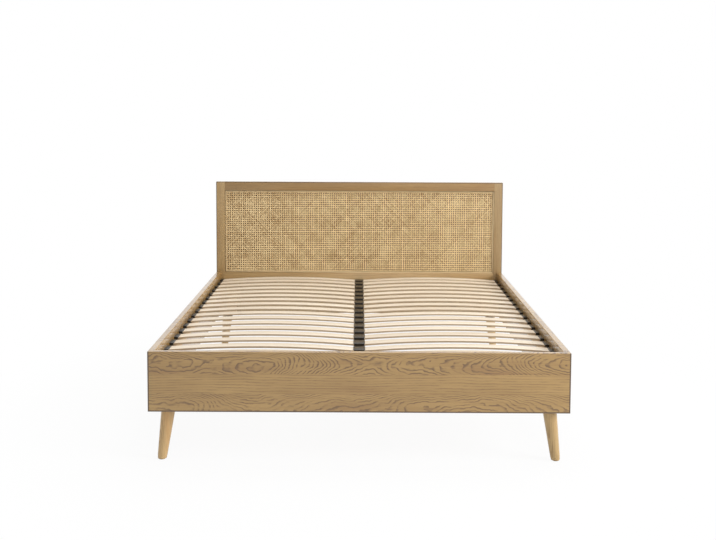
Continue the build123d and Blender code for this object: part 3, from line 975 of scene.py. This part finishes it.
class BED_OT_legs(bpy.types.Operator):
    """Finish the turned legs, their plates and glides"""

    bl_idname = "bed.legs"
    bl_label = "Legs"

    def execute(self, context):
        edges = context.scene.bed_edges
        for corner, seed in zip(CORNERS, (61.0, 64.0, 67.0, 71.0)):
            leg = NODES[f"leg_{corner}"]
            # The front right leg is darkened as a whole: painted shade for its side turned from the key lamp.
            tone_and_light_tint = (0.84, 0.82, 0.76) if corner == "front_right" else (1.06, 1.04, 1.02)
            oak = solid_oak("Z", seed, "leg", tone_and_light_tint, figure=1.2, rings=150.0, strength=0.6)
            clothe(leg, finish(f"leg_oak_{corner}", oak, Coat_Weight=0.15, Coat_Roughness=0.25))
            ease_edges(leg)
        clothe(NODES["leg_plates"], finish("leg_plate_steel", powder_coat, Metallic=0.0))
        ease_edges(NODES["leg_plates"], edges.steel)
        clothe(NODES["floor_glides"], finish("glide_felt", pressed_felt))
        ease_edges(NODES["floor_glides"], edges.steel)
        return {"FINISHED"}


class BED_OT_fittings(bpy.types.Operator):
    """Finish the steel fittings, the levelling foot and the bolts, and drive the small screws"""

    bl_idname = "bed.fittings"
    bl_label = "Fittings and screws"

    def execute(self, context):
        edges = context.scene.bed_edges
        coat = finish("fitting_steel", powder_coat)
        for name in ("beam_brackets", "centre_leg"):
            clothe(NODES[name], coat)
            ease_edges(NODES[name], edges.steel)
        clothe(NODES["levelling_foot"], finish("foot_plastic", moulded("foot")))
        ease_edges(NODES["levelling_foot"], edges.plastic)
        zinc = finish("bolt_zinc", zinc_plate, Metallic=1.0)
        for name in ("frame_bolts", "leg_bolts"):
            clothe(NODES[name], zinc)
            ease_edges(NODES[name], edges.steel)
        self.drive_all(context.scene.bed_screws, zinc)
        return {"FINISHED"}

    def drive_all(self, sizes, zinc):
        head = screw_head(sizes)
        for side, sign in zip(SIDES, (-1, 1)):
            low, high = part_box(f"slat_batten_{side}")
            face = low.x if sign > 0 else high.x
            count = round((high.y - low.y) / sizes.spacing)
            step = (high.y - low.y) / count
            middle = (low.z + high.z) / 2
            places = [((face, low.y + step * (k + 0.5), middle), (-sign, 0, 0)) for k in range(count)]
            drive_screws(f"batten_screws_{side}", head, places, zinc)
        drive_screws("bracket_screws", head, self.bracket_places(), zinc)
        drive_screws("leg_plate_screws", head, self.plate_places(), zinc)
        drive_screws("centre_leg_screws", head, self.flange_places(), zinc)

    def bracket_places(self):
        low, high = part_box("beam_brackets")
        beam_low, beam_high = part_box("centre_beam")
        ear_middle, inset = 0.0123, 0.011
        places = []
        for face, out in ((low.y + SHEET_STEEL, 1), (high.y - SHEET_STEEL, -1)):
            for x in (beam_low.x - ear_middle, beam_high.x + ear_middle):
                places += [((x, face, z), (0, out, 0)) for z in (low.z + inset, high.z - inset)]
        return places

    def plate_places(self):
        low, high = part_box("leg_plates")
        half, reach = 0.032, 0.025
        places = []
        for x in (low.x + half, high.x - half):
            for y in (low.y + half, high.y - half):
                corners = [(x + dx, y + dy) for dx in (-reach, reach) for dy in (-reach, reach)]
                places += [((*corner, high.z - SHEET_STEEL), (0, 0, -1)) for corner in corners]
        return places

    def flange_places(self):
        low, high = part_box("centre_leg")
        middle = (low.y + high.y) / 2
        hole_reach = 0.037
        face = high.z - FLANGE_STEEL
        return [((0, middle + side, face), (0, 0, -1)) for side in (-hole_reach, hole_reach)]


class BED_OT_studio(bpy.types.Operator):
    """Set the pale floor, the soft lamps, the surroundings and the camera"""

    bl_idname = "bed.studio"
    bl_label = "Studio"

    def execute(self, context):
        studio = context.scene.bed_studio
        self.lay_floor(context)
        self.light_surroundings(context, studio)
        self.hang_lamp("key_lamp", (6.0, -2.7, 3.0), 3.0, studio.key)
        self.hang_lamp("overhead_lamp", (0.3, 0.5, 4.2), 4.5, studio.overhead)
        self.hang_lamp("fill_lamp", (0.8, -6.2, 2.6), 3.5, studio.fill)
        self.set_camera(context, studio)
        settings = context.scene.view_settings
        settings.view_transform = "Standard"
        return {"FINISHED"}

    def lay_floor(self, context):
        mesh = bpy.data.meshes.new("studio_floor")
        reach = 30.0
        corners = [(-reach, -reach, 0), (reach, -reach, 0), (reach, reach, 0), (-reach, reach, 0)]
        mesh.from_pydata(corners, [], [(0, 1, 2, 3)])
        floor = bpy.data.objects.new("studio_floor", mesh)
        context.scene.collection.objects.link(floor)
        material = bpy.data.materials.new("studio_floor")
        material.use_nodes = True
        nodes = Nodes(material.node_tree)
        seen = nodes.add("ShaderNodeLightPath", output="Is Camera Ray")
        mirrored = nodes.add("ShaderNodeLightPath", output="Is Glossy Ray")
        passed = nodes.add("ShaderNodeLightPath", output="Is Transmission Ray")
        white = nodes.add("ShaderNodeEmission", inputs={0: (1, 1, 1, 1), 1: 1.0})
        paper = nodes.add("ShaderNodeBsdfDiffuse", inputs={0: (0.8, 0.8, 0.8, 1)})
        x, y, _ = nodes.place()
        away = ((x * x) * 0.45 + (y * y) * 0.3).rise(0.2, 1.6)
        shown = seen.maths("MAXIMUM", seen, mirrored.maths("MAXIMUM", mirrored, passed))
        shown = shown * (0.91 + 0.09 * away)
        above = nodes.add("ShaderNodeMixShader", inputs={0: shown, 1: paper, 2: white})
        beneath = nodes.add("ShaderNodeNewGeometry", output="Backfacing")
        clear = nodes.add("ShaderNodeBsdfTransparent")
        surface = nodes.add("ShaderNodeMixShader", inputs={0: beneath, 1: above, 2: clear})
        nodes.add("ShaderNodeOutputMaterial", inputs={0: surface})
        clothe(floor, material)

    def light_surroundings(self, context, studio):
        world = bpy.data.worlds.new("studio")
        world.use_nodes = True
        context.scene.world = world
        nodes = Nodes(world.node_tree)
        seen = nodes.add("ShaderNodeLightPath", output="Is Camera Ray")
        mirrored = nodes.add("ShaderNodeLightPath", output="Is Glossy Ray")
        passed = nodes.add("ShaderNodeLightPath", output="Is Transmission Ray")
        direction = nodes.add("ShaderNodeTexCoord", output="Generated")
        behind = nodes.add("ShaderNodeSeparateXYZ", inputs={0: direction}, output=1).rise(-0.6, 0.4)
        mirror = studio.front + behind * (studio.backdrop - studio.front)
        plain = seen.maths("MAXIMUM", seen, passed)
        strength = studio.sky + mirrored * (mirror - studio.sky) + plain * (studio.backdrop - studio.sky)
        sky = nodes.add("ShaderNodeBackground", inputs={0: (1, 1, 1, 1), 1: strength})
        nodes.add("ShaderNodeOutputWorld", inputs={0: sky})

    def hang_lamp(self, name, place, size, power):
        lamp = bpy.data.lights.new(name, "AREA")
        lamp.shape = "SQUARE"
        lamp.size = size
        lamp.energy = power
        obj = bpy.data.objects.new(name, lamp)
        obj.location = place
        obj.rotation_euler = (Vector((0, 0, 0.4)) - Vector(place)).to_track_quat("-Z", "Y").to_euler()
        bpy.context.scene.collection.objects.link(obj)

    def set_camera(self, context, studio):
        camera = bpy.data.cameras.new("camera")
        camera.lens = studio.focal
        camera.sensor_width = 36.0
        camera.shift_y = -studio.shift
        obj = bpy.data.objects.new("camera", camera)
        place = Matrix.Translation((studio.camera_x, studio.camera_y, studio.camera_z))
        turn = Matrix.Rotation(studio.camera_turn, 4, "Z")
        tilt = Matrix.Rotation(math.pi / 2 - studio.camera_down, 4, "X")
        obj.matrix_world = place @ turn @ tilt @ Matrix.Rotation(studio.camera_roll, 4, "Z")
        context.scene.collection.objects.link(obj)
        context.scene.camera = obj


class BED_PT_panel(bpy.types.Panel):
    """Lists the bed's operators"""

    bl_idname = "BED_PT_panel"
    bl_label = "Bed"
    bl_space_type = "VIEW_3D"
    bl_region_type = "UI"
    bl_category = "Bed"

    def draw(self, context):
        for operator in OPERATORS:
            self.layout.operator(operator.bl_idname)


OPERATORS = (
    BED_OT_boards,
    BED_OT_headboard,
    BED_OT_cane,
    BED_OT_slats,
    BED_OT_holders,
    BED_OT_support,
    BED_OT_legs,
    BED_OT_fittings,
    BED_OT_studio,
)


def register():
    for group in (*GROUPS.values(), *OPERATORS, BED_PT_panel):
        bpy.utils.register_class(group)
    for name, group in GROUPS.items():
        setattr(bpy.types.Scene, name, PointerProperty(type=group))


def unregister():
    for name in GROUPS:
        delattr(bpy.types.Scene, name)
    for group in reversed((*GROUPS.values(), *OPERATORS, BED_PT_panel)):
        bpy.utils.unregister_class(group)


def main():
    register()
    for operator in OPERATORS:
        family, name = operator.bl_idname.split(".")
        getattr(getattr(bpy.ops, family), name)()


if __name__ == "__main__":
    main()
